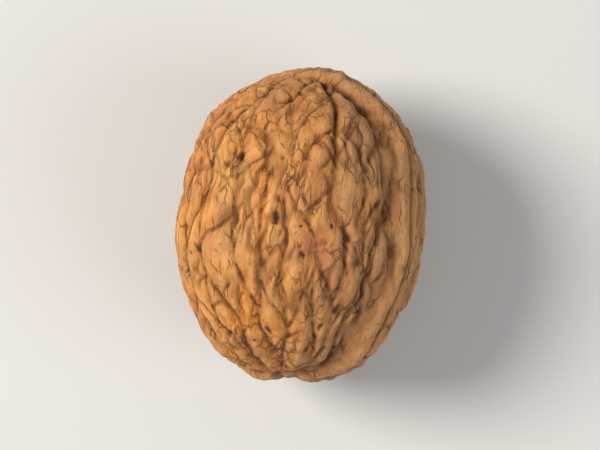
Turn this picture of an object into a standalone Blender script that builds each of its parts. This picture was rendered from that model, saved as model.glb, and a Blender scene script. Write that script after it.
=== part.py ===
"""A walnut in its shell, lying on its side, as one closed solid.

The body is a blunt oval. A seam runs round it through both ends and stands up as a flat-topped ridge with a
shallow trench on each side. Furrows wander over each valve from the base to the tip, short cross furrows join
them, and the shell bulges between them in long low cells, with pits here and there and one broad dent.

Metres, +Z up. The long axis lies along Y with the tip at +Y. The origin is the middle of the small flat spot
that the nut rests on, straight under its centre of mass.

The relief is worked out in the nut's own frame: Y is the long axis, the seam lies in the XY plane, azimuth 0
is the seam on the +X side and azimuth 90 the back of the first valve. Latitude runs from -90 degrees at the
base to 90 at the tip.
"""

import math
import random

import bmesh
import bpy
import numpy as np
from mathutils import Matrix, Vector, noise

# The nut as a whole
LENGTH = 0.0394
WIDTH_OVER_SEAM = 0.0322
DEPTH_OVER_BACKS = 0.0310
SHOULDER = 0.12
TIP_FULLNESS = 0.045
TIP_RISE = 0.0004
TIP_SPREAD = 0.13
BASE_DIMPLE = 0.0007
BASE_SPREAD = 0.15

# How it lies: the seam's ridge leans this far from straight up, towards +X
SEAM_LEAN = math.radians(56)
FOOT_SINK = 0.00028
FOOT_FADE_RADIUS = 0.0052
FOOT_FADE = 0.9

# The seam
SEAM_RISE = 0.00095
SEAM_HALF_WIDTH = 0.0018
SEAM_GROOVE = 0.00022
SEAM_GROOVE_HALF_WIDTH = 0.0007
SEAM_TIP_GAIN = 0.12
SEAM_WANDER = 0.00035
SEAM_WAVES = 2.6
SEAM_NOISE_WAVELENGTH = 0.0042
SEAM_SHIFT = 0.00035
SEAM_SWELL = 0.45
TRENCH_DEPTH = 0.00045
TRENCH_OFFSET = 0.0030
TRENCH_HALF_WIDTH = 0.0010
VALVE_START = 0.0015

# The furrows and the cells between them
SEED = 11
HIDDEN_FURROWS = 11
FIRST_FURROW = math.radians(19)
LAST_FURROW = math.radians(161)
FURROW_WANDER = math.radians(6)
FURROW_TURN = math.radians(30)
FURROW_DEPTH = 0.00075
FURROW_HALF_WIDTH = 0.00100
FURROW_FADE_START = math.radians(64)
FURROW_END = math.radians(80)
SHALLOWEST_SHARE = 0.15
USUAL_SHARE = 0.66
FURROW_SWING = 0.60
WAVE_RATES = (2.6, 5.8, 10.2)
WAVE_SHARES = (0.4, 0.8)
MERGE_START = math.radians(40)
MERGE_END = math.radians(64)
LINKS_PER_GAP = 3
LINK_LATITUDE = math.radians(46)
LINK_PLACES = (0.15, 0.85)
LINK_RUN = math.radians(15)
LEAST_RUN_SHARE = 0.4
LINK_DEPTH = 0.00055
LINK_HALF_WIDTH = 0.00095
LINK_POINTS = 40
LEAST_DEPTH_SHARE = 0.6
CELL_RISE = 0.00035
CELL_SHOULDER = 0.0019
POINT_SPACING = 0.0003

# The furrows that show on the upper side: azimuth in degrees near the tip and near the base, then how deep
# each is there as a share of the full depth
SHOWN_FURROWS = (
    (19, 19, 0.75, 0.75),
    (30, 27, 0.45, 0.55),
    (42, 36, 1.25, 0.50),
    (57, 48, 0.35, 0.50),
    (68, 61, 0.35, 0.60),
    (80, 73, 0.40, 0.60),
    (94, 86, 0.50, 0.60),
    (109, 106, 0.65, 0.75),
    (125, 124, 0.75, 0.80),
    (143, 142, 0.90, 0.90),
    (160, 160, 0.80, 0.80),
)
SHOWN_WANDER = math.radians(3.5)
SHOWN_SWING = 0.30

# The broad dent below the middle of the upper side: its azimuth and latitude, then its size
DENT_PLACE = (math.radians(50), math.radians(-8))
DENT_DEPTH = 0.00070
DENT_HALF_WIDTH = 0.0021

# The pits: those that show on the upper side, as azimuth and latitude in degrees, and seeded ones elsewhere
SHOWN_PITS = ((57, -9), (36, -3), (41, -37), (46, -50), (89, 24), (68, 3))
SEEDED_PITS = 34
PIT_LATITUDE = math.radians(62)
PIT_HALF_WIDTH = 0.00085
PIT_DEPTH = 0.00055
PIT_POINTS = 5
PIT_HALF_LENGTHS = (math.radians(0.6), math.radians(3.4))

# The broad unevenness of the body, and the wobble of the furrows
UNEVEN_WAVELENGTH = 0.0095
UNEVEN_HEIGHT = 0.00055
WARP_WAVELENGTH = 0.0060
WARP_SIZE = 0.0009

# Where the noise is read for the shift along each axis, far enough apart to be unlike
NOISE_STARTS = ((0.00, 0.00, 0.00), (0.31, 0.17, 0.23), (0.47, 0.61, 0.05))

# The mesh: cells along each edge of the cube that is blown up into the body
GRID = 30
POINTS_AT_A_TIME = 2000

SHELL_COLOUR = (0.366, 0.156, 0.053, 1.0)
SHELL_ROUGHNESS = 0.55


def clear_scene():
    for old in list(bpy.data.objects):
        bpy.data.objects.remove(old, do_unlink=True)


def smoothstep(low, high, values):
    share = np.clip((values - low) / (high - low), 0, 1)
    return share * share * (3 - 2 * share)


def direction(latitude, azimuth):
    """Unit vectors in the nut's own frame."""
    ring = np.cos(latitude)
    return np.column_stack((ring * np.cos(azimuth), np.sin(latitude), ring * np.sin(azimuth)))


def body_points(directions):
    """The smooth body under the relief, with its blunt tip and the dimple in its base."""
    along = directions[:, 1]
    ring = np.hypot(directions[:, 0], directions[:, 2])
    fullness = 1 + SHOULDER * along**2 + TIP_FULLNESS * along
    tip = TIP_RISE * np.exp(-((ring / TIP_SPREAD) ** 2)) * (along > 0)
    dimple = BASE_DIMPLE * np.exp(-((ring / BASE_SPREAD) ** 2)) * (along < 0)
    x = (WIDTH_OVER_SEAM / 2 - SEAM_RISE) * directions[:, 0] * fullness
    y = (LENGTH - TIP_RISE - 2 * SEAM_RISE) / 2 * along + tip + dimple
    z = (DEPTH_OVER_BACKS / 2 - CELL_RISE) * directions[:, 2] * fullness
    return np.column_stack((x, y, z))


def body_normals(points):
    half_sizes = np.array((WIDTH_OVER_SEAM, LENGTH, DEPTH_OVER_BACKS)) / 2
    normals = points / half_sizes**2
    return normals / np.linalg.norm(normals, axis=1)[:, None]


def random_curve(rng, size):
    """A smooth seeded curve of latitude, from a few sine waves."""
    slowest = WAVE_RATES[0]
    heights = [size * rng.uniform(*WAVE_SHARES) * slowest / rate for rate in WAVE_RATES]
    phases = [rng.uniform(0, math.tau) for _ in WAVE_RATES]

    def curve(latitude):
        return sum(
            height * np.sin(rate * latitude + phase)
            for height, rate, phase in zip(heights, WAVE_RATES, phases)
        )

    return curve


def trace(latitudes, azimuths, depths, half_width):
    """A groove as rows of x, y, z, depth and half width, along its centre line on the body."""
    places = body_points(direction(latitudes, azimuths))
    widths = np.full(len(places), half_width)
    return np.column_stack((places, depths, widths))


def shown_plan():
    """The furrows of the upper valve, as the photo shows them."""
    return [(math.radians(tip), math.radians(base), *depths) for tip, base, *depths in SHOWN_FURROWS]


def hidden_plan():
    """The furrows of the other valve, evenly spaced before they wander."""
    starts = np.linspace(FIRST_FURROW, LAST_FURROW, HIDDEN_FURROWS) + math.pi
    return [(start, start, 1.0, 1.0) for start in starts]


def towards_tip(latitude):
    return smoothstep(-FURROW_TURN, FURROW_TURN, latitude)


def valve_furrows(rng, plan, wander):
    """The azimuth curves of one valve's furrows. Every other furrow runs into its neighbour near the ends."""
    curves = [random_curve(rng, wander) for _ in plan]

    def azimuth(number, latitude):
        tip, base, _, _ = plan[number]
        own = base + (tip - base) * towards_tip(latitude) + curves[number](latitude)
        if number % 2 == 0:
            return own
        merged = smoothstep(MERGE_START, MERGE_END, np.abs(latitude))
        return own * (1 - merged) + azimuth(number - 1, latitude) * merged

    return azimuth


def planned_share(plan, number, latitudes):
    """How deep the plan has one furrow along its length, as a share of the full depth."""
    _, _, tip_share, base_share = plan[number]
    return base_share + (tip_share - base_share) * towards_tip(latitudes)


def furrow_rows(rng, azimuth, plan, swing):
    rows = []
    steps = int(math.pi / 2 * LENGTH / POINT_SPACING)
    latitudes = np.linspace(-FURROW_END, FURROW_END, steps)
    fade = 1 - smoothstep(FURROW_FADE_START, FURROW_END, np.abs(latitudes))
    for number in range(len(plan)):
        share = np.clip(USUAL_SHARE + random_curve(rng, swing)(latitudes), SHALLOWEST_SHARE, 1)
        depths = FURROW_DEPTH * share * planned_share(plan, number, latitudes) * fade
        rows.append(trace(latitudes, azimuth(number, latitudes), depths, FURROW_HALF_WIDTH))
    return rows


def link_rows(rng, azimuth, plan):
    """Short slanting furrows from each furrow to the next."""
    rows = []
    spacing = 2 * LINK_LATITUDE / LINKS_PER_GAP
    for number in range(len(plan) - 1):
        for place in range(LINKS_PER_GAP):
            middle = -LINK_LATITUDE + (place + rng.uniform(*LINK_PLACES)) * spacing
            run = LINK_RUN * rng.uniform(LEAST_RUN_SHARE, 1) * rng.choice((-1, 1))
            latitudes = np.linspace(middle - run, middle + run, LINK_POINTS)
            across = smoothstep(0, 1, np.linspace(0, 1, LINK_POINTS))
            azimuths = azimuth(number, latitudes) * (1 - across) + azimuth(number + 1, latitudes) * across
            share = rng.uniform(LEAST_DEPTH_SHARE, 1) * planned_share(plan, number, latitudes)
            rows.append(trace(latitudes, azimuths, LINK_DEPTH * share, LINK_HALF_WIDTH))
    return rows


def pit_rows(rng):
    places = [(math.radians(azimuth), math.radians(latitude)) for azimuth, latitude in SHOWN_PITS]
    for _ in range(SEEDED_PITS):
        valve = rng.choice((0, math.pi))
        azimuth = valve + rng.uniform(FIRST_FURROW, LAST_FURROW)
        places.append((azimuth, rng.uniform(-PIT_LATITUDE, PIT_LATITUDE)))
    rows = []
    for azimuth, latitude in places:
        half_length = rng.uniform(*PIT_HALF_LENGTHS)
        latitudes = np.linspace(latitude - half_length, latitude + half_length, PIT_POINTS)
        depths = np.full(PIT_POINTS, PIT_DEPTH * rng.uniform(LEAST_DEPTH_SHARE, 1))
        rows.append(trace(latitudes, np.full(PIT_POINTS, azimuth), depths, PIT_HALF_WIDTH))
    return rows


def noise_at(points, wavelength):
    return np.array([noise.noise(Vector(point) / wavelength) for point in points])


def warped(points):
    """The places moved along the shell by smooth noise, so that furrows taken from them wobble."""
    shifts = np.column_stack([noise_at(points + start, WARP_WAVELENGTH) for start in NOISE_STARTS])
    normals = body_normals(points)
    shifts -= normals * (shifts * normals).sum(axis=1)[:, None]
    return points + WARP_SIZE * shifts


def groove_relief(points, rows):
    """How deep the deepest groove is at each point, and how far the nearest groove's centre line is."""
    depth = np.empty(len(points))
    nearest = np.empty(len(points))
    for first in range(0, len(points), POINTS_AT_A_TIME):
        part = slice(first, first + POINTS_AT_A_TIME)
        gaps = np.linalg.norm(points[part, None, :] - rows[None, :, :3], axis=2)
        depth[part] = (rows[:, 3] * np.exp(-((gaps / rows[:, 4]) ** 2))).max(axis=1)
        nearest[part] = gaps.min(axis=1)
    return depth, nearest


def valve_relief(points):
    """Furrows, links and pits, with the cells domed between them."""
    rng = random.Random(SEED)
    lines = []
    shown = (shown_plan(), SHOWN_WANDER, SHOWN_SWING)
    hidden = (hidden_plan(), FURROW_WANDER, FURROW_SWING)
    for plan, wander, swing in (shown, hidden):
        azimuth = valve_furrows(rng, plan, wander)
        lines += furrow_rows(rng, azimuth, plan, swing)
        lines += link_rows(rng, azimuth, plan)
    places = warped(points)
    furrow_depth, to_furrow = groove_relief(places, np.vstack(lines))
    pit_depth, _ = groove_relief(places, np.vstack(pit_rows(rng)))
    cells = CELL_RISE * (1 - np.exp(-((to_furrow / CELL_SHOULDER) ** 2)))
    return cells - np.maximum(furrow_depth, pit_depth)


def seam_relief(points, along):
    """The ridge on the seam with its shallow middle groove, and the trench on each side of it."""
    uneven = noise_at(points, SEAM_NOISE_WAVELENGTH)
    line = SEAM_WANDER * np.sin(SEAM_WAVES * math.pi * along) + SEAM_SHIFT * uneven
    off = np.abs(points[:, 2] - line)
    strength = (1 + SEAM_TIP_GAIN * along) * (1 + SEAM_SWELL * uneven)
    ridge = SEAM_RISE * np.exp(-((off / SEAM_HALF_WIDTH) ** 4))
    groove = SEAM_GROOVE * np.exp(-((off / SEAM_GROOVE_HALF_WIDTH) ** 2))
    trench = TRENCH_DEPTH * np.exp(-(((off - TRENCH_OFFSET) / TRENCH_HALF_WIDTH) ** 2))
    return strength * (ridge - trench) - groove


def dent_share(points):
    """1 in the middle of the broad dent, and 0 away from it."""
    azimuth, latitude = DENT_PLACE
    middle = body_points(direction(np.array([latitude]), np.array([azimuth])))
    gap = np.linalg.norm(points - middle, axis=1)
    return np.exp(-((gap / DENT_HALF_WIDTH) ** 2))


def seam_share(points):
    """1 on the seam's ridge and 0 on the valves, where the furrows are."""
    return 1 - smoothstep(VALVE_START, TRENCH_OFFSET, np.abs(points[:, 2]))


def lying():
    """Turns the nut about its long axis so that the +X seam leans from straight up by SEAM_LEAN."""
    return np.array(Matrix.Rotation(SEAM_LEAN - math.pi / 2, 3, "Y"))


def foot_fade(points):
    """Less relief round the place that the nut rests on, so that its flat spot is whole."""
    down = np.array((0.0, 0.0, -1.0)) @ lying()
    foot = body_points(down[None, :])
    gap = np.linalg.norm(points - foot, axis=1)
    return 1 - FOOT_FADE * np.exp(-((gap / FOOT_FADE_RADIUS) ** 4))


def shell_points(directions):
    """The shell's points in the nut's own frame."""
    points = body_points(directions)
    valves = valve_relief(points) * (1 - seam_share(points))
    seam = seam_relief(points, directions[:, 1])
    uneven = UNEVEN_HEIGHT * noise_at(points, UNEVEN_WAVELENGTH)
    relief = (valves + seam + uneven - DENT_DEPTH * dent_share(points)) * foot_fade(points)
    return points + body_normals(points) * relief[:, None]


def centre_of_mass(points, triangles):
    corners = points[triangles]
    volumes = np.einsum("ij,ij->i", corners[:, 0], np.cross(corners[:, 1], corners[:, 2])) / 6
    centres = corners.sum(axis=1) / 4
    return (centres * volumes[:, None]).sum(axis=0) / volumes.sum()


def settle(points, triangles):
    """Lays the nut on z = 0 with its centre of mass over the origin, and flattens the spot it rests on."""
    points = points @ lying().T
    centre = centre_of_mass(points, triangles)
    points[:, :2] -= centre[:2]
    points[:, 2] -= points[:, 2].min() + FOOT_SINK
    points[:, 2] = np.maximum(points[:, 2], 0)
    return points


def cube_sphere(name):
    """A cube with GRID cells along each edge, blown up into the unit sphere and split in triangles."""
    grid = bmesh.new()
    bmesh.ops.create_cube(grid, size=2)
    bmesh.ops.subdivide_edges(grid, edges=grid.edges[:], cuts=GRID - 1, use_grid_fill=True)
    for vertex in grid.verts:
        spread = [math.tan(value * math.pi / 4) for value in vertex.co]
        vertex.co = Vector(spread).normalized()
    bmesh.ops.triangulate(grid, faces=grid.faces[:])
    bmesh.ops.recalc_face_normals(grid, faces=grid.faces[:])
    mesh = bpy.data.meshes.new(name)
    grid.to_mesh(mesh)
    grid.free()
    return mesh


def read_mesh(mesh):
    places = np.empty(3 * len(mesh.vertices))
    mesh.vertices.foreach_get("co", places)
    corners = np.empty(3 * len(mesh.polygons), dtype=int)
    mesh.polygons.foreach_get("vertices", corners)
    return places.reshape(-1, 3), corners.reshape(-1, 3)


def shell_material():
    material = bpy.data.materials.new("shell")
    material.use_nodes = True
    surface = material.node_tree.nodes["Principled BSDF"]
    surface.inputs["Base Color"].default_value = SHELL_COLOUR
    surface.inputs["Roughness"].default_value = SHELL_ROUGHNESS
    surface.inputs["Metallic"].default_value = 0.0
    return material


def walnut():
    mesh = cube_sphere("walnut")
    directions, triangles = read_mesh(mesh)
    points = settle(shell_points(directions), triangles)
    mesh.vertices.foreach_set("co", points.ravel())
    mesh.update()
    mesh.shade_smooth()
    mesh.materials.append(shell_material())
    nut = bpy.data.objects.new("walnut", mesh)
    bpy.context.collection.objects.link(nut)
    return nut


clear_scene()
walnut()
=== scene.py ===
"""The looks of a walnut in its shell, lying on its side on a pale floor and seen from above.

The shell is built again as a fine mesh by the same rule as its solid: a blunt oval with a raised seam,
wandering furrows, links between them, pits and a dent. The fine mesh adds what the solid is too coarse for:
sharper furrows, dead-end spurs, a net of thin veins, small pits and wrinkles. Each kind of relief is also
kept as a vertex attribute, and the shell's material takes its colour and gloss from them.

Metres, +Z up, in the frame of the solid. The relief is worked out in the nut's own frame: Y is the long
axis, the seam lies in the XY plane, azimuth 0 is the seam on the +X side and azimuth 90 the back of the first
valve. Latitude runs from -90 degrees at the base to 90 at the tip.
"""

import math
import random

import bmesh
import bpy
import numpy as np
from mathutils import Matrix, Vector, noise


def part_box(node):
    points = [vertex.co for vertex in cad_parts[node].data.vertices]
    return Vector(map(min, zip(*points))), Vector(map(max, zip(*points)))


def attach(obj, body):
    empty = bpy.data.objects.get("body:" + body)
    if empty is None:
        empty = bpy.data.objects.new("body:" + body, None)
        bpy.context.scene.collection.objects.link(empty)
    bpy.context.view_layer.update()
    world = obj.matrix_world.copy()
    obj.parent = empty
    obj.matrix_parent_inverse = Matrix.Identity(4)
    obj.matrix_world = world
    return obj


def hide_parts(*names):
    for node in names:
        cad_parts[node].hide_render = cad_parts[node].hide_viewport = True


# The nut as a whole, as in its solid
LENGTH = 0.0394
WIDTH_OVER_SEAM = 0.0322
DEPTH_OVER_BACKS = 0.0310
SHOULDER = 0.12
TIP_FULLNESS = 0.045
TIP_RISE = 0.0004
TIP_SPREAD = 0.13
BASE_DIMPLE = 0.0007
BASE_SPREAD = 0.15

# How it lies
SEAM_LEAN = math.radians(56)
FOOT_SINK = 0.00028
FOOT_FADE_RADIUS = 0.0052
FOOT_FADE = 0.9
FOOT_EDGE_POWER = 4

# The seam
SEAM_RISE = 0.00095
SEAM_HALF_WIDTH = 0.0018
SEAM_EDGE_POWER = 4
SEAM_GROOVE = 0.00022
SEAM_GROOVE_HALF_WIDTH = 0.0007
SEAM_TIP_GAIN = 0.12
SEAM_WANDER = 0.00035
SEAM_WAVES = 2.6
SEAM_NOISE_WAVELENGTH = 0.0042
SEAM_SHIFT = 0.00035
SEAM_SWELL = 0.45
TRENCH_DEPTH = 0.00045
TRENCH_OFFSET = 0.0030
TRENCH_HALF_WIDTH = 0.0010
VALVE_START = 0.0015
SEAM_LINE_DEPTH = 0.00022
SEAM_LINE_HALF_WIDTH = 0.00020

# The furrows and the cells between them
SEED = 11
HIDDEN_FURROWS = 11
FIRST_FURROW = math.radians(19)
LAST_FURROW = math.radians(161)
FURROW_WANDER = math.radians(6)
FURROW_TURN = math.radians(30)
FURROW_DEPTH = 0.00080
FURROW_HALF_WIDTH = 0.00055
FURROW_FADE_START = math.radians(64)
FURROW_END = math.radians(80)
SHALLOWEST_SHARE = 0.15
USUAL_SHARE = 0.66
FURROW_SWING = 0.60
WAVE_RATES = (2.6, 5.8, 10.2)
WAVE_SHARES = (0.4, 0.8)
MERGE_START = math.radians(40)
MERGE_END = math.radians(64)
LINKS_PER_GAP = 3
LINK_LATITUDE = math.radians(46)
LINK_PLACES = (0.15, 0.85)
LINK_RUN = math.radians(15)
LEAST_RUN_SHARE = 0.4
LINK_DEPTH = 0.00062
LINK_HALF_WIDTH = 0.00050
LINK_POINTS = 40
LEAST_DEPTH_SHARE = 0.6
CELL_RISE = 0.00035
CELL_SHOULDER = 0.0019
POINT_SPACING = 0.0003
GROOVE_CORE = 0.6
GROOVE_SKIRT = 2.4

# The furrows that show on the upper side: azimuth in degrees near the tip and near the base, then how deep
# each is there as a share of the full depth
SHOWN_FURROWS = (
    (19, 19, 0.75, 0.75),
    (30, 27, 0.45, 0.55),
    (42, 36, 1.25, 0.50),
    (57, 48, 0.35, 0.50),
    (68, 61, 0.35, 0.60),
    (80, 73, 0.40, 0.60),
    (94, 86, 0.50, 0.60),
    (109, 106, 0.65, 0.75),
    (125, 124, 0.75, 0.80),
    (143, 142, 0.90, 0.90),
    (160, 160, 0.80, 0.80),
)
SHOWN_WANDER = math.radians(3.5)
SHOWN_SWING = 0.30

# The broad dent below the middle of the upper side: its azimuth and latitude, then its size
DENT_PLACE = (math.radians(50), math.radians(-8))
DENT_DEPTH = 0.00070
DENT_HALF_WIDTH = 0.0021

# The pits: those that show on the upper side, as azimuth and latitude in degrees, and seeded ones elsewhere
SHOWN_PITS = ((57, -9), (36, -3), (41, -37), (46, -50), (89, 24), (68, 3))
SEEDED_PITS = 34
PIT_LATITUDE = math.radians(62)
PIT_HALF_WIDTH = 0.00044
PIT_DEPTH = 0.00055
PIT_POINTS = 5
PIT_TAPER = np.array((0.45, 0.85, 1.0, 0.85, 0.45))
PIT_HALF_LENGTHS = (math.radians(0.6), math.radians(3.4))

# The broad unevenness of the body, and the wobble of the furrows
UNEVEN_WAVELENGTH = 0.0095
UNEVEN_HEIGHT = 0.00055
WARP_WAVELENGTH = 0.0060
WARP_SIZE = 0.0009

# Where the noise is read for the shift along each axis, far enough apart to be unlike
NOISE_STARTS = ((0.00, 0.00, 0.00), (0.31, 0.17, 0.23), (0.47, 0.61, 0.05))

# What only the fine mesh has
FINE_WARP_WAVELENGTH = 0.0019
FINE_WARP_SIZE = 0.00030
PIT_WARP_WAVELENGTH = 0.0009
PIT_WARP_SIZE = 0.00038
FINE_SEED = 5
SPURS_PER_FURROW = 9
SPUR_LATITUDE = math.radians(66)
SPUR_TURN = math.radians(7)
SPUR_RUN = math.radians(11)
SPUR_CURL = 1.5
SPUR_DEPTH = 0.00042
SPUR_HALF_WIDTH = 0.00036
SPUR_POINTS = 14
SMALL_PITS = 150
SMALL_PIT_LATITUDE = math.radians(74)
SMALL_PIT_DEPTH = 0.00030
SMALL_PIT_HALF_WIDTH = 0.00026
SMALL_PIT_HALF_LENGTHS = (math.radians(0.3), math.radians(2.8))
SMALL_PIT_SLANT = 1.2
VEIN_CELL = 0.0019
VEIN_STRETCH = 4.0
VEIN_WIDTH = 0.16
VEIN_DEPTH = 0.00026
VEIN_ON_SEAM = 0.5
VEIN_PATCH = 0.0034
VEIN_PATCH_EDGE = 0.30
VEIN_WARP_SIZE = 0.00060
WRINKLE_WAVELENGTH = 0.0010
WRINKLE_STRETCH = 3.4
WRINKLE_HEIGHT = 0.00024
LINE_HALF_WIDTH = 0.00026
LINE_FULL_SHARE = 0.35
# Painted shade: the shell is greyed along the +X seam, the side turned from the key light, and round the tip
SHADE_GREY_FROM = 0.45
SHADE_GREY_FULL = 0.95
TIP_SHADE_GREY_RADIUS = 0.0055
SCAR_RADIUS = 0.0023
SCAR_EDGE_POWER = 6
SCAR_RAGGED = 0.0011
SCAR_RAGGED_WAVELENGTH = 0.0016
SCAR_DEPTH = 0.00045
TIP_SCAR_RADIUS = 0.0009
BLUR_ROUNDS = 40
HOLLOW_DEPTH = 0.00022

# The mesh: cells along each edge of the cube that is blown up into the body
GRID = 128
POINTS_AT_A_TIME = 2000

# The colours of the shell, as linear red, green and blue
ORANGE_TAN = (0.505, 0.164, 0.024)
YELLOW_TAN = (0.590, 0.244, 0.050)
STREAK_TAN = (0.620, 0.330, 0.125)
# Painted light on the crests, standing also for their paler rubbed tan
CREST_TAN_AND_LIGHT = (0.700, 0.340, 0.100)
RUDDY_TAN = (0.460, 0.165, 0.058)
DENT_TAN = (0.520, 0.160, 0.062)
GREY_BROWN = (0.270, 0.145, 0.070)
SEAM_TAN = (0.470, 0.235, 0.088)
VEIN_BROWN = (0.250, 0.092, 0.024)
# Painted shade in every hollow, standing also for the furrows' darker brown
FURROW_BROWN_AND_SHADE = (0.110, 0.038, 0.010)
LINE_BROWN = (0.080, 0.028, 0.008)
PIT_BROWN = (0.045, 0.017, 0.006)
SCAR_BROWN = (0.150, 0.066, 0.026)

# The layers of the shell's colour over ORANGE_TAN, each laid on those before it: its colour, its greatest
# share, the mask that it follows, with the values where it starts and where it is full, and the noise that
# breaks it up. The noise has its wavelength, its stretch along the nut, the values where it starts and where
# it is full, and the share that it leaves where it is lowest.
COLOUR_LAYERS = (
    (YELLOW_TAN, 1.00, None, (0.0080, 1.0, 0.40, 0.60, 0)),
    (STREAK_TAN, 0.55, None, (0.0013, 7.0, 0.48, 0.66, 0)),
    # Painted light: crests that stand above the level round them are lighter, as well as rubbed paler
    (CREST_TAN_AND_LIGHT, 0.70, ("hollow", -0.10, -0.75), None),
    (RUDDY_TAN, 0.60, None, (0.0052, 1.6, 0.54, 0.68, 0)),
    (DENT_TAN, 0.85, ("dent", 0.10, 0.75), (0.0016, 1.5, 0.36, 0.56, 0.40)),
    (GREY_BROWN, 0.35, None, (0.0045, 1.0, 0.50, 0.66, 0)),
    # Painted shade: grey along the +X seam side and at the tip
    (GREY_BROWN, 0.75, ("shade_grey", 0.00, 1.00), (0.0038, 1.5, 0.40, 0.60, 0.45)),
    (SEAM_TAN, 0.55, ("seam", 0.00, 1.00), None),
    (VEIN_BROWN, 0.35, None, (0.00045, 6.0, 0.45, 0.75, 0)),
    (VEIN_BROWN, 0.70, ("vein", 0.00, 1.00), None),
    (VEIN_BROWN, 0.75, None, (0.00040, 1.5, 0.60, 0.72, 0)),
    # Painted shade: wherever the shell lies below the level round it, it is darkened, as well as browner
    (FURROW_BROWN_AND_SHADE, 0.72, ("hollow", 0.10, 1.30), None),
    (LINE_BROWN, 0.90, ("line", 0.20, 0.85), (0.0012, 1.0, 0.40, 0.60, 0.25)),
    (LINE_BROWN, 0.60, ("cracks", 0.00, 1.00), None),
    (PIT_BROWN, 0.95, ("pit", 0.35, 0.85), None),
    (SCAR_BROWN, 0.95, ("scar", 0.10, 0.90), (0.0007, 1.0, 0.38, 0.60, 0.35)),
)
NOISE_DETAIL = 3.0

# The numbers of the mix node's sockets for colours, whose names it also gives to other sockets
MIX_SHARE = 0
MIX_FIRST = 6
MIX_SECOND = 7
MIX_RESULT = 2

# The cracks, which only the material has
CRACK_CELL = 0.0015
CRACK_STRETCH = 3.5
CRACK_BEND = 0.0009
CRACK_BEND_WAVELENGTH = 0.0014
CRACK_EDGE = (0.01, 0.05)
CRACK_PATCH = 0.0026
CRACK_PATCH_EDGE = (0.46, 0.62)

# The bump, with each kind's share of its height
BUMP_HEIGHT = 0.00026
FIBRE_WAVELENGTH = 0.00055
FIBRE_STRETCH = 4.0
FIBRE_SHARE = 0.85
GRAIN_WAVELENGTH = 0.00018
GRAIN_SHARE = 0.15
CRACK_SHARE = 0.50

# The gloss: the roughness on the crests and in the hollows
CREST_ROUGHNESS = 0.52
HOLLOW_ROUGHNESS = 0.85
ROUGHNESS_EDGE = 0.6
SPECULAR = 0.30

# The floor and the lights, each light with its place, width, power and colour
FLOOR_COLOUR = (0.64, 0.635, 0.62)
FLOOR_SIZE = 4
FLOOR_ROUGHNESS = 0.8
KEY_LIGHT = ((-0.40, 0.08, 0.42), 0.26, 3.7, (1.0, 0.96, 0.89))
FILL_LIGHT = ((0.40, -0.12, 0.30), 0.40, 1.00, (0.97, 0.98, 1.0))
SKY_COLOUR = (0.95, 0.97, 1.0)
SKY_STRENGTH = 0.33

# The camera looks straight down, turned so that the nut's tip leans to the right as in the photo
CAMERA_LENS = 135.0
CAMERA_DISTANCE = 0.275
CAMERA_NEAREST = 0.01
TIP_LEAN = math.radians(5.4)


def smoothstep(low, high, values):
    share = np.clip((values - low) / (high - low), 0, 1)
    return share * share * (3 - 2 * share)


def direction(latitude, azimuth):
    """Unit vectors in the nut's own frame."""
    ring = np.cos(latitude)
    return np.column_stack((ring * np.cos(azimuth), np.sin(latitude), ring * np.sin(azimuth)))


def body_points(directions):
    """The smooth body under the relief, with its blunt tip and the dimple in its base."""
    along = directions[:, 1]
    ring = np.hypot(directions[:, 0], directions[:, 2])
    fullness = 1 + SHOULDER * along**2 + TIP_FULLNESS * along
    tip = TIP_RISE * np.exp(-((ring / TIP_SPREAD) ** 2)) * (along > 0)
    dimple = BASE_DIMPLE * np.exp(-((ring / BASE_SPREAD) ** 2)) * (along < 0)
    x = (WIDTH_OVER_SEAM / 2 - SEAM_RISE) * directions[:, 0] * fullness
    y = (LENGTH - TIP_RISE - 2 * SEAM_RISE) / 2 * along + tip + dimple
    z = (DEPTH_OVER_BACKS / 2 - CELL_RISE) * directions[:, 2] * fullness
    return np.column_stack((x, y, z))


def body_normals(points):
    half_sizes = np.array((WIDTH_OVER_SEAM, LENGTH, DEPTH_OVER_BACKS)) / 2
    normals = points / half_sizes**2
    return normals / np.linalg.norm(normals, axis=1)[:, None]


def random_curve(rng, size):
    """A smooth seeded curve of latitude, from a few sine waves."""
    slowest = WAVE_RATES[0]
    heights = [size * rng.uniform(*WAVE_SHARES) * slowest / rate for rate in WAVE_RATES]
    phases = [rng.uniform(0, math.tau) for _ in WAVE_RATES]

    def curve(latitude):
        return sum(
            height * np.sin(rate * latitude + phase)
            for height, rate, phase in zip(heights, WAVE_RATES, phases)
        )

    return curve


def trace(latitudes, azimuths, depths, half_width):
    """A groove as rows of x, y, z, depth and half width, along its centre line on the body."""
    places = body_points(direction(latitudes, azimuths))
    widths = np.full(len(places), half_width)
    return np.column_stack((places, depths, widths))


def shown_plan():
    """The furrows of the upper valve, as the photo shows them."""
    return [(math.radians(tip), math.radians(base), *depths) for tip, base, *depths in SHOWN_FURROWS]


def hidden_plan():
    """The furrows of the other valve, evenly spaced before they wander."""
    starts = np.linspace(FIRST_FURROW, LAST_FURROW, HIDDEN_FURROWS) + math.pi
    return [(start, start, 1.0, 1.0) for start in starts]


def towards_tip(latitude):
    return smoothstep(-FURROW_TURN, FURROW_TURN, latitude)


def valve_furrows(rng, plan, wander):
    """The azimuth curves of one valve's furrows. Every other furrow runs into its neighbour near the ends."""
    curves = [random_curve(rng, wander) for _ in plan]

    def azimuth(number, latitude):
        tip, base, _, _ = plan[number]
        own = base + (tip - base) * towards_tip(latitude) + curves[number](latitude)
        if number % 2 == 0:
            return own
        merged = smoothstep(MERGE_START, MERGE_END, np.abs(latitude))
        return own * (1 - merged) + azimuth(number - 1, latitude) * merged

    return azimuth


def planned_share(plan, number, latitudes):
    """How deep the plan has one furrow along its length, as a share of the full depth."""
    _, _, tip_share, base_share = plan[number]
    return base_share + (tip_share - base_share) * towards_tip(latitudes)


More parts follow.
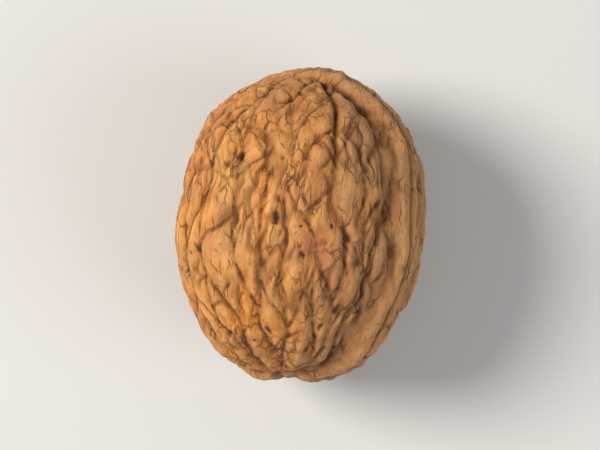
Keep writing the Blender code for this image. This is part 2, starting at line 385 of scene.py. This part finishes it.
def furrow_rows(rng, azimuth, plan, swing):
    """The furrows of one valve, each deeper in some stretches than in others."""
    rows = []
    steps = int(math.pi / 2 * LENGTH / POINT_SPACING)
    latitudes = np.linspace(-FURROW_END, FURROW_END, steps)
    fade = 1 - smoothstep(FURROW_FADE_START, FURROW_END, np.abs(latitudes))
    for number in range(len(plan)):
        share = np.clip(USUAL_SHARE + random_curve(rng, swing)(latitudes), SHALLOWEST_SHARE, 1)
        depths = FURROW_DEPTH * share * planned_share(plan, number, latitudes) * fade
        rows.append(trace(latitudes, azimuth(number, latitudes), depths, FURROW_HALF_WIDTH))
    return rows


def link_rows(rng, azimuth, plan):
    """Short slanting furrows from each furrow to the next."""
    rows = []
    spacing = 2 * LINK_LATITUDE / LINKS_PER_GAP
    for number in range(len(plan) - 1):
        for place in range(LINKS_PER_GAP):
            middle = -LINK_LATITUDE + (place + rng.uniform(*LINK_PLACES)) * spacing
            run = LINK_RUN * rng.uniform(LEAST_RUN_SHARE, 1) * rng.choice((-1, 1))
            latitudes = np.linspace(middle - run, middle + run, LINK_POINTS)
            across = smoothstep(0, 1, np.linspace(0, 1, LINK_POINTS))
            azimuths = azimuth(number, latitudes) * (1 - across) + azimuth(number + 1, latitudes) * across
            share = rng.uniform(LEAST_DEPTH_SHARE, 1) * planned_share(plan, number, latitudes)
            rows.append(trace(latitudes, azimuths, LINK_DEPTH * share, LINK_HALF_WIDTH))
    return rows


def spur_rows(rng, azimuth, count):
    """Short grooves that leave a furrow at a slant and die out in a cell."""
    rows = []
    along = np.linspace(0, 1, SPUR_POINTS)
    for number in range(count):
        for _ in range(SPURS_PER_FURROW):
            start = rng.uniform(-SPUR_LATITUDE, SPUR_LATITUDE)
            run = SPUR_RUN * rng.uniform(LEAST_RUN_SHARE, 1) * rng.choice((-1, 1))
            turn = SPUR_TURN * rng.uniform(LEAST_RUN_SHARE, 1) * rng.choice((-1, 1))
            latitudes = start + run * along
            azimuths = azimuth(number, latitudes) + turn * along**SPUR_CURL / math.cos(start)
            depths = SPUR_DEPTH * rng.uniform(LEAST_DEPTH_SHARE, 1) * (1 - along**2)
            rows.append(trace(latitudes, azimuths, depths, SPUR_HALF_WIDTH))
    return rows


def pit_rows(rng):
    """The pits, drawn out a little along the nut: those of SHOWN_PITS and then the seeded ones."""
    places = [(math.radians(azimuth), math.radians(latitude)) for azimuth, latitude in SHOWN_PITS]
    for _ in range(SEEDED_PITS):
        valve = rng.choice((0, math.pi))
        azimuth = valve + rng.uniform(FIRST_FURROW, LAST_FURROW)
        places.append((azimuth, rng.uniform(-PIT_LATITUDE, PIT_LATITUDE)))
    rows = []
    for azimuth, latitude in places:
        half_length = rng.uniform(*PIT_HALF_LENGTHS)
        latitudes = np.linspace(latitude - half_length, latitude + half_length, PIT_POINTS)
        depths = PIT_DEPTH * rng.uniform(LEAST_DEPTH_SHARE, 1) * PIT_TAPER
        rows.append(trace(latitudes, np.full(PIT_POINTS, azimuth), depths, PIT_HALF_WIDTH))
    return rows


def small_pit_rows(rng):
    """Fine pits all over the nut, some of them drawn out and slanting."""
    rows = []
    for _ in range(SMALL_PITS):
        azimuth = rng.uniform(0, math.tau)
        latitude = math.asin(rng.uniform(-1, 1) * math.sin(SMALL_PIT_LATITUDE))
        half_length = rng.uniform(*SMALL_PIT_HALF_LENGTHS)
        latitudes = np.linspace(latitude - half_length, latitude + half_length, PIT_POINTS)
        azimuths = azimuth + rng.uniform(-SMALL_PIT_SLANT, SMALL_PIT_SLANT) * (latitudes - latitude)
        depths = SMALL_PIT_DEPTH * rng.uniform(LEAST_DEPTH_SHARE, 1) * PIT_TAPER
        half_width = SMALL_PIT_HALF_WIDTH * rng.uniform(LEAST_DEPTH_SHARE, 1)
        rows.append(trace(latitudes, azimuths, depths, half_width))
    return rows


def noise_at(points, wavelength, stretch=1.0):
    """Smooth noise at each point, drawn out along the nut by stretch."""
    scale = np.array((1, 1 / stretch, 1)) / wavelength
    return np.array([noise.noise(Vector(place)) for place in points * scale])


def moved_by_noise(points, wavelength, size):
    """The places moved along the shell by smooth noise, so that grooves taken from them wobble."""
    shifts = np.column_stack([noise_at(points + start, wavelength) for start in NOISE_STARTS])
    normals = body_normals(points)
    shifts -= normals * (shifts * normals).sum(axis=1)[:, None]
    return points + size * shifts


def groove_relief(points, rows, core=1.0):
    """How deep the deepest groove is at each point, and how far the nearest groove's centre line is."""
    rows = rows.astype(np.float32)
    points = points.astype(np.float32)
    depth = np.empty(len(points))
    nearest = np.empty(len(points))
    narrow = rows[:, 4] ** 2
    wide = narrow * GROOVE_SKIRT**2
    for first in range(0, len(points), POINTS_AT_A_TIME):
        part = slice(first, first + POINTS_AT_A_TIME)
        across = points[part] @ rows[:, :3].T
        gaps = (points[part] ** 2).sum(axis=1)[:, None] + (rows[:, :3] ** 2).sum(axis=1) - 2 * across
        gaps = np.maximum(gaps, 0)
        shape = core * np.exp(-gaps / narrow)
        if core < 1:
            shape += (1 - core) * np.exp(-gaps / wide)
        depth[part] = (rows[:, 3] * shape).max(axis=1)
        nearest[part] = np.sqrt(gaps.min(axis=1))
    return depth, nearest


def vein_depths(points):
    """A net of thin veins round long narrow cells, stronger in some places than in others."""
    scale = np.array((1, 1 / VEIN_STRETCH, 1)) / VEIN_CELL
    depths = []
    for place in points * scale:
        gaps, _ = noise.voronoi(Vector(place))
        depths.append(math.exp(-(((gaps[1] - gaps[0]) / VEIN_WIDTH) ** 2)))
    patches = smoothstep(-VEIN_PATCH_EDGE, VEIN_PATCH_EDGE, noise_at(points, VEIN_PATCH))
    return np.array(depths) * patches


def seam_relief(points, along):
    """The ridge on the seam with its middle groove and thin line, and the trench on each side of it."""
    uneven = noise_at(points, SEAM_NOISE_WAVELENGTH)
    line = SEAM_WANDER * np.sin(SEAM_WAVES * math.pi * along) + SEAM_SHIFT * uneven
    off = np.abs(points[:, 2] - line)
    strength = (1 + SEAM_TIP_GAIN * along) * (1 + SEAM_SWELL * uneven)
    ridge = SEAM_RISE * np.exp(-((off / SEAM_HALF_WIDTH) ** SEAM_EDGE_POWER))
    groove = SEAM_GROOVE * np.exp(-((off / SEAM_GROOVE_HALF_WIDTH) ** 2))
    crack = np.exp(-((off / SEAM_LINE_HALF_WIDTH) ** 2))
    trench = TRENCH_DEPTH * np.exp(-(((off - TRENCH_OFFSET) / TRENCH_HALF_WIDTH) ** 2))
    return strength * (ridge - trench) - groove - SEAM_LINE_DEPTH * crack, crack


def dent_share(points):
    """1 in the middle of the broad dent, and 0 away from it."""
    azimuth, latitude = DENT_PLACE
    middle = body_points(direction(np.array([latitude]), np.array([azimuth])))
    gap = np.linalg.norm(points - middle, axis=1)
    return np.exp(-((gap / DENT_HALF_WIDTH) ** 2))


def seam_share(points):
    """1 on the seam's ridge and 0 on the valves, where the furrows are."""
    return 1 - smoothstep(VALVE_START, TRENCH_OFFSET, np.abs(points[:, 2]))


def scar_shares(ring, directions):
    """1 on the rough scar at the base and 0 away from it, then the same for the small one at the tip."""
    base = np.exp(-((ring / SCAR_RADIUS) ** SCAR_EDGE_POWER)) * (directions[:, 1] < 0)
    tip = np.exp(-((ring / TIP_SCAR_RADIUS) ** 2)) * (directions[:, 1] > 0)
    return base, tip


def shade_grey_share(ring, directions):
    """1 where painted shade makes the shell greyest, along the +X seam, the side turned from the key light,
    and at the tip, and 0 far from both.
    """
    round_it = np.arctan2(directions[:, 2], directions[:, 0])
    side = smoothstep(SHADE_GREY_FROM, SHADE_GREY_FULL, np.cos(round_it))
    tip = np.exp(-((ring / TIP_SHADE_GREY_RADIUS) ** 2)) * (directions[:, 1] > 0)
    return np.maximum(side, tip)


def lying():
    """Turns the nut about its long axis so that the +X seam leans from straight up by SEAM_LEAN."""
    return np.array(Matrix.Rotation(SEAM_LEAN - math.pi / 2, 3, "Y"))


def foot_fade(points):
    """Less relief round the place that the nut rests on, so that its flat spot is whole."""
    down = np.array((0.0, 0.0, -1.0)) @ lying()
    foot = body_points(down[None, :])
    gap = np.linalg.norm(points - foot, axis=1)
    return 1 - FOOT_FADE * np.exp(-((gap / FOOT_FADE_RADIUS) ** FOOT_EDGE_POWER))


def groove_lists():
    """The rows of the furrows with their links, of the pits, and of the fine spurs and small pits."""
    rng = random.Random(SEED)
    fine_rng = random.Random(FINE_SEED)
    furrows = []
    spurs = []
    shown = (shown_plan(), SHOWN_WANDER, SHOWN_SWING)
    hidden = (hidden_plan(), FURROW_WANDER, FURROW_SWING)
    for plan, wander, swing in (shown, hidden):
        azimuth = valve_furrows(rng, plan, wander)
        furrows += furrow_rows(rng, azimuth, plan, swing)
        furrows += link_rows(rng, azimuth, plan)
        spurs += spur_rows(fine_rng, azimuth, len(plan))
    pits = pit_rows(rng)
    small_pits = small_pit_rows(fine_rng)
    return np.vstack(furrows), np.vstack(spurs), np.vstack(pits), np.vstack(small_pits)


def hollows(relief, edges):
    """How far each point lies below the level round it: above 0 in a hollow and below 0 on a crest."""
    count = len(relief)
    ends = np.concatenate((edges[:, 0], edges[:, 1]))
    others = np.concatenate((edges[:, 1], edges[:, 0]))
    neighbours = np.bincount(ends, minlength=count)
    level = relief
    for _ in range(BLUR_ROUNDS):
        level = (level + np.bincount(ends, weights=level[others], minlength=count) / neighbours) / 2
    return (level - relief) / HOLLOW_DEPTH


def shell_points(directions, edges):
    """The shell's points in the nut's own frame, and the masks that its material reads."""
    points = body_points(directions)
    furrows, spurs, pits, small_pits = groove_lists()
    places = moved_by_noise(points, WARP_WAVELENGTH, WARP_SIZE)
    places = moved_by_noise(places, FINE_WARP_WAVELENGTH, FINE_WARP_SIZE)
    furrow_depth, to_furrow = groove_relief(places, furrows, GROOVE_CORE)
    spur_depth, to_spur = groove_relief(places, spurs)
    ragged = moved_by_noise(places, PIT_WARP_WAVELENGTH, PIT_WARP_SIZE)
    pit_depth, _ = groove_relief(ragged, pits)
    small_pit_depth, _ = groove_relief(ragged, small_pits)
    veins = vein_depths(moved_by_noise(places, FINE_WARP_WAVELENGTH, VEIN_WARP_SIZE))

    on_valve = 1 - seam_share(points)
    deep = np.maximum.reduce((furrow_depth, spur_depth, pit_depth))
    crown = 1 - np.exp(-((to_furrow / CELL_SHOULDER) ** 2))
    valves = (CELL_RISE * crown - deep) * on_valve
    seam, seam_crack = seam_relief(points, directions[:, 1])
    uneven = UNEVEN_HEIGHT * noise_at(points, UNEVEN_WAVELENGTH)
    wrinkles = WRINKLE_HEIGHT * noise_at(places, WRINKLE_WAVELENGTH, WRINKLE_STRETCH)
    veined = VEIN_ON_SEAM + (1 - VEIN_ON_SEAM) * on_valve
    fine = wrinkles - VEIN_DEPTH * veins * veined - small_pit_depth
    dent = dent_share(points)
    relief = (valves + seam + uneven - DENT_DEPTH * dent + fine) * foot_fade(points)
    ring = np.hypot(points[:, 0], points[:, 2]) + SCAR_RAGGED * noise_at(points, SCAR_RAGGED_WAVELENGTH)
    base_scar, tip_scar = scar_shares(ring, directions)
    relief -= SCAR_DEPTH * base_scar * (1 + noise_at(points, WRINKLE_WAVELENGTH))
    groove_share = np.maximum(furrow_depth, spur_depth) / FURROW_DEPTH * on_valve
    line = np.exp(-((np.minimum(to_furrow, to_spur) / LINE_HALF_WIDTH) ** 2))
    masks = {
        "pit": np.maximum(pit_depth / PIT_DEPTH * on_valve, small_pit_depth / SMALL_PIT_DEPTH),
        "vein": np.maximum(veins, seam_crack),
        "seam": 1 - on_valve,
        "line": line * smoothstep(0, LINE_FULL_SHARE, groove_share),
        # The material paints shade into the hollows and light onto the crests from this mask
        "hollow": hollows(relief, edges),
        # Painted shade: greyer along the +X seam side and at the tip
        "shade_grey": shade_grey_share(ring, directions),
        "scar": np.maximum(base_scar, tip_scar),
        "dent": dent,
    }
    return points + body_normals(points) * relief[:, None], masks


def centre_of_mass(points, triangles):
    corners = points[triangles]
    volumes = np.einsum("ij,ij->i", corners[:, 0], np.cross(corners[:, 1], corners[:, 2])) / 6
    centres = corners.sum(axis=1) / 4
    return (centres * volumes[:, None]).sum(axis=0) / volumes.sum()


def settle(points, triangles):
    """Lays the nut on z = 0 with its centre of mass over the origin, and flattens the spot it rests on."""
    points = points @ lying().T
    centre = centre_of_mass(points, triangles)
    points[:, :2] -= centre[:2]
    points[:, 2] -= points[:, 2].min() + FOOT_SINK
    points[:, 2] = np.maximum(points[:, 2], 0)
    return points


def cube_sphere(name):
    """A cube with GRID cells along each edge, blown up into the unit sphere and split in triangles."""
    grid = bmesh.new()
    bmesh.ops.create_cube(grid, size=2)
    bmesh.ops.subdivide_edges(grid, edges=grid.edges[:], cuts=GRID - 1, use_grid_fill=True)
    for vertex in grid.verts:
        spread = [math.tan(value * math.pi / 4) for value in vertex.co]
        vertex.co = Vector(spread).normalized()
    bmesh.ops.triangulate(grid, faces=grid.faces[:])
    bmesh.ops.recalc_face_normals(grid, faces=grid.faces[:])
    mesh = bpy.data.meshes.new(name)
    grid.to_mesh(mesh)
    grid.free()
    return mesh


def read_mesh(mesh):
    """The points and the triangles of a mesh as arrays."""
    places = np.empty(3 * len(mesh.vertices))
    mesh.vertices.foreach_get("co", places)
    corners = np.empty(3 * len(mesh.polygons), dtype=int)
    mesh.polygons.foreach_get("vertices", corners)
    return places.reshape(-1, 3), corners.reshape(-1, 3)


def node(tree, kind, **values):
    """A new shader node. A value named after a socket, with _ for a space, is set on that socket."""
    made = tree.nodes.new(kind)
    for name, value in values.items():
        if hasattr(made, name):
            setattr(made, name, value)
        else:
            made.inputs[name.replace("_", " ")].default_value = value
    return made


def mixed(tree, share, first, second):
    """The colour that goes from first to second as share goes from 0 to 1."""
    mix = node(tree, "ShaderNodeMix", data_type="RGBA")
    for socket, value in ((MIX_SHARE, share), (MIX_FIRST, first), (MIX_SECOND, second)):
        if isinstance(value, bpy.types.NodeSocket):
            tree.links.new(value, mix.inputs[socket])
        elif isinstance(value, tuple):
            mix.inputs[socket].default_value = (*value, 1.0)
        else:
            mix.inputs[socket].default_value = value
    return mix.outputs[MIX_RESULT]


def mapped(tree, value, from_low, from_high, to_low, to_high):
    """The value, with the range from_low to from_high laid on the range to_low to to_high."""
    reach = node(
        tree, "ShaderNodeMapRange", From_Min=from_low, From_Max=from_high, To_Min=to_low, To_Max=to_high
    )
    tree.links.new(value, reach.inputs["Value"])
    return reach.outputs["Result"]


def maths(tree, operation, first, second):
    made = node(tree, "ShaderNodeMath", operation=operation)
    for socket, value in zip(made.inputs, (first, second)):
        if isinstance(value, bpy.types.NodeSocket):
            tree.links.new(value, socket)
        else:
            socket.default_value = value
    return made.outputs[0]


def mask(tree, name):
    """The vertex attribute of that name."""
    return node(tree, "ShaderNodeAttribute", attribute_name=name).outputs["Fac"]


def squeezed(tree, place, wavelength, stretch):
    """The place in units of the wavelength, so that a texture has that size, drawn out along the nut."""
    scale = (1 / wavelength, 1 / wavelength / stretch, 1 / wavelength)
    squeeze = node(tree, "ShaderNodeMapping", Scale=scale)
    tree.links.new(place, squeeze.inputs["Vector"])
    return squeeze.outputs[0]


def noise_texture(tree, place, wavelength, stretch=1.0):
    """Noise of a given size in metres, drawn out along the nut by stretch."""
    texture = node(tree, "ShaderNodeTexNoise", Scale=1.0, Detail=NOISE_DETAIL)
    tree.links.new(squeezed(tree, place, wavelength, stretch), texture.inputs["Vector"])
    return texture.outputs["Fac"]


def bent(tree, place, wavelength, size):
    """The place moved by noise, so that what is drawn there bends."""
    bend = node(tree, "ShaderNodeTexNoise", Scale=1 / wavelength, Detail=NOISE_DETAIL)
    tree.links.new(place, bend.inputs["Vector"])
    moved = node(tree, "ShaderNodeVectorMath", operation="MULTIPLY_ADD")
    moved.inputs[1].default_value = (size, size, size)
    tree.links.new(bend.outputs["Color"], moved.inputs[0])
    tree.links.new(place, moved.inputs[2])
    return moved.outputs[0]


def crack_net(tree, place):
    """Thin cracks round long narrow cells, finer than the mesh can hold and only in some places."""
    moved = bent(tree, place, CRACK_BEND_WAVELENGTH, CRACK_BEND)
    cells = node(tree, "ShaderNodeTexVoronoi", feature="DISTANCE_TO_EDGE", Scale=1.0)
    tree.links.new(squeezed(tree, moved, CRACK_CELL, CRACK_STRETCH), cells.inputs["Vector"])
    cracks = mapped(tree, cells.outputs["Distance"], *CRACK_EDGE, 1, 0)
    patches = mapped(tree, noise_texture(tree, place, CRACK_PATCH), *CRACK_PATCH_EDGE, 0, 1)
    return maths(tree, "MULTIPLY", cracks, patches)


def shell_colour(tree, place, masks):
    """The colour layers over each other: tan in patches, greyer in places, darker in each kind of hollow;
    painted shade greys the +X seam side and the tip and darkens the hollows, painted light lifts the crests.
    """
    colour = ORANGE_TAN
    for layer, greatest, mask_range, noise_range in COLOUR_LAYERS:
        share = greatest
        if mask_range:
            name, start, full = mask_range
            share = maths(tree, "MULTIPLY", mapped(tree, masks[name], start, full, 0, 1), share)
        if noise_range:
            wavelength, stretch, start, full, least = noise_range
            noise_share = mapped(tree, noise_texture(tree, place, wavelength, stretch), start, full, least, 1)
            share = maths(tree, "MULTIPLY", noise_share, share)
        colour = mixed(tree, share, colour, layer)
    return colour


def shell_bump(tree, place, cracks):
    """Fibres, grain and cracks, finer than the mesh."""
    fibre = maths(tree, "MULTIPLY", noise_texture(tree, place, FIBRE_WAVELENGTH, FIBRE_STRETCH), FIBRE_SHARE)
    grain = maths(tree, "MULTIPLY", noise_texture(tree, place, GRAIN_WAVELENGTH), GRAIN_SHARE)
    depth = maths(tree, "MULTIPLY", cracks, CRACK_SHARE)
    height = maths(tree, "SUBTRACT", maths(tree, "ADD", fibre, grain), depth)
    bump = node(tree, "ShaderNodeBump", Strength=1.0, Distance=BUMP_HEIGHT)
    tree.links.new(height, bump.inputs["Height"])
    return bump.outputs[0]


def shell_material(mask_names):
    material = bpy.data.materials.new("walnut_shell")
    material.use_nodes = True
    tree = material.node_tree
    surface = tree.nodes["Principled BSDF"]
    place = node(tree, "ShaderNodeTexCoord").outputs["Object"]
    masks = {name: mask(tree, name) for name in mask_names}
    masks["cracks"] = crack_net(tree, place)
    roughness = mapped(
        tree, masks["hollow"], -ROUGHNESS_EDGE, ROUGHNESS_EDGE, CREST_ROUGHNESS, HOLLOW_ROUGHNESS
    )
    tree.links.new(shell_colour(tree, place, masks), surface.inputs["Base Color"])
    tree.links.new(roughness, surface.inputs["Roughness"])
    tree.links.new(shell_bump(tree, place, masks["cracks"]), surface.inputs["Normal"])
    surface.inputs["Specular IOR Level"].default_value = SPECULAR
    return material


def walnut():
    mesh = cube_sphere("walnut_shell")
    directions, triangles = read_mesh(mesh)
    edges = np.empty(2 * len(mesh.edges), dtype=int)
    mesh.edges.foreach_get("vertices", edges)
    points, masks = shell_points(directions, edges.reshape(-1, 2))
    mesh.vertices.foreach_set("co", settle(points, triangles).ravel())
    for name, values in masks.items():
        attribute = mesh.attributes.new(name, "FLOAT", "POINT")
        attribute.data.foreach_set("value", values.astype(np.float32))
    mesh.update()
    mesh.shade_smooth()
    mesh.materials.append(shell_material(masks))
    nut = bpy.data.objects.new("walnut_shell", mesh)
    bpy.context.collection.objects.link(nut)
    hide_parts("walnut")
    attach(nut, "root")


def floor():
    bpy.ops.mesh.primitive_plane_add(size=FLOOR_SIZE)
    plane = bpy.context.object
    plane.name = "floor"
    material = bpy.data.materials.new("floor")
    material.use_nodes = True
    surface = material.node_tree.nodes["Principled BSDF"]
    surface.inputs["Base Color"].default_value = (*FLOOR_COLOUR, 1.0)
    surface.inputs["Roughness"].default_value = FLOOR_ROUGHNESS
    plane.data.materials.append(material)


def camera(middle):
    data = bpy.data.cameras.new("camera")
    data.lens = CAMERA_LENS
    data.clip_start = CAMERA_NEAREST
    eye = bpy.data.objects.new("camera", data)
    eye.location = middle + Vector((0, 0, CAMERA_DISTANCE))
    eye.rotation_euler = (0, 0, TIP_LEAN)
    bpy.context.collection.objects.link(eye)
    bpy.context.scene.camera = eye


def area_light(name, target, place, size, power, colour):
    data = bpy.data.lights.new(name, "AREA")
    data.shape = "DISK"
    data.size = size
    data.energy = power
    data.color = colour
    lamp = bpy.data.objects.new(name, data)
    lamp.location = place
    lamp.rotation_euler = (target - Vector(place)).to_track_quat("-Z", "Y").to_euler()
    bpy.context.collection.objects.link(lamp)


def lights(middle):
    area_light("key", middle, *KEY_LIGHT)
    area_light("fill", middle, *FILL_LIGHT)
    world = bpy.data.worlds.new("studio")
    world.use_nodes = True
    sky = world.node_tree.nodes["Background"]
    sky.inputs["Color"].default_value = (*SKY_COLOUR, 1.0)
    sky.inputs["Strength"].default_value = SKY_STRENGTH
    bpy.context.scene.world = world
    bpy.context.scene.view_settings.view_transform = "Standard"


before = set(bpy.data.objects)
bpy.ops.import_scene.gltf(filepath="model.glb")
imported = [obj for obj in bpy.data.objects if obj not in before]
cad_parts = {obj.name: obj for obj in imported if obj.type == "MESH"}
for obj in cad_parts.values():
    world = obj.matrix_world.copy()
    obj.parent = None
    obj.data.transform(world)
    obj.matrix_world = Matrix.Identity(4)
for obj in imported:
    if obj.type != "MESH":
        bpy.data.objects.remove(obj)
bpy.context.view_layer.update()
low, high = (Vector(corner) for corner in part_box("walnut"))
middle = (low + high) / 2
walnut()
floor()
camera(middle)
lights(middle)
